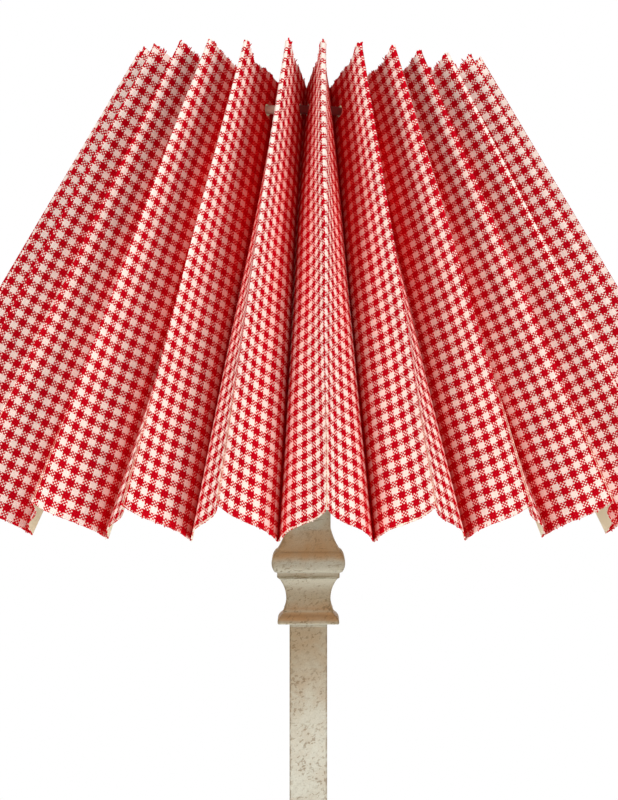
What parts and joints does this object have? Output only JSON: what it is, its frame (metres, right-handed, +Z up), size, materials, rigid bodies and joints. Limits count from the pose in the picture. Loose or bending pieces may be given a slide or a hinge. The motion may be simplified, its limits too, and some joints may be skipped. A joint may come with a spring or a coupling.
{
  "type": "table lamp",
  "caption": "Candlestick table lamp with a square whitewashed wooden stand and a wide pleated red and cream gingham shade threaded by a drawstring.",
  "frame": {"origin": "middle of the underside of the base", "axes": "+Z up along the stem, -Y to the front, +X to the right as seen from the front"},
  "size_m": [0.4084, 0.4084, 0.5916],
  "materials": {
    "whitewashed_wood": "whitewash rubbed back to the wood",
    "felt": "felt",
    "cast_weight": "as cast",
    "zinc_steel": "zinc plated",
    "brass": "satin",
    "holder_plastic": "satin",
    "holder_ceramic": "unglazed",
    "bulb_metal": "bright",
    "bulb_insulation": "gloss",
    "bulb_clear_glass": "clear",
    "bulb_wire": "drawn",
    "carrier_paint": "white lacquer",
    "gingham": "woven check on a cream lining",
    "cotton_cord": "twisted cord"
  },
  "bodies": {
    "stand": {"felt_pad": "felt", "plinth": "whitewashed_wood", "base_moulding": "whitewashed_wood", "shaft": "whitewashed_wood", "capital": "whitewashed_wood", "base_weight": "cast_weight", "weight_screws": "zinc_steel", "cord_bushing": "holder_plastic", "lamp_tube": "zinc_steel", "tube_washer": "zinc_steel", "tube_nut": "zinc_steel", "seat_plate": "brass", "seat_nut": "brass", "holder_cap": "holder_plastic", "holder_insert": "holder_ceramic", "terminal_screws": "brass", "screw_shell": "brass", "centre_contact": "brass", "holder_skirt": "holder_plastic"},
    "shade_ring": {"shade_ring": "holder_plastic"},
    "bulb": {"bulb_contact": "bulb_metal", "bulb_insulator": "bulb_insulation", "bulb_cap": "bulb_metal", "bulb_glass": "bulb_clear_glass", "bulb_stem": "bulb_clear_glass", "bulb_leads": "bulb_wire", "filament": "bulb_wire"},
    "carrier": {"carrier_collar": "carrier_paint", "carrier_arms": "carrier_paint", "top_ring": "carrier_paint", "carrier_ribs": "carrier_paint", "bottom_ring": "carrier_paint"},
    "shade": {"shade_strip_a": "gingham", "shade_strip_b": "gingham", "drawstring": "cotton_cord"}
  },
  "joints": [
    {"name": "carrier_turn", "type": "hinge", "parent": "stand", "child": "carrier", "pos_m": [0, 0, 0.414], "axis": [0, 0, 1], "continuous": true},
    {"name": "shade_lift", "type": "slide", "parent": "carrier", "child": "shade", "axis": [0, 0, 1], "range_m": [0, 0.22]},
    {"name": "ring_unscrew", "type": "hinge", "parent": "stand", "child": "shade_ring", "pos_m": [0, 0, 0.4152], "axis": [0, 0, 1], "range_deg": [0, 1080]},
    {"name": "bulb_unscrew", "type": "hinge", "parent": "stand", "child": "bulb", "pos_m": [0, 0, 0.4115], "axis": [0, 0, 1], "range_deg": [0, 900]}
  ]
}
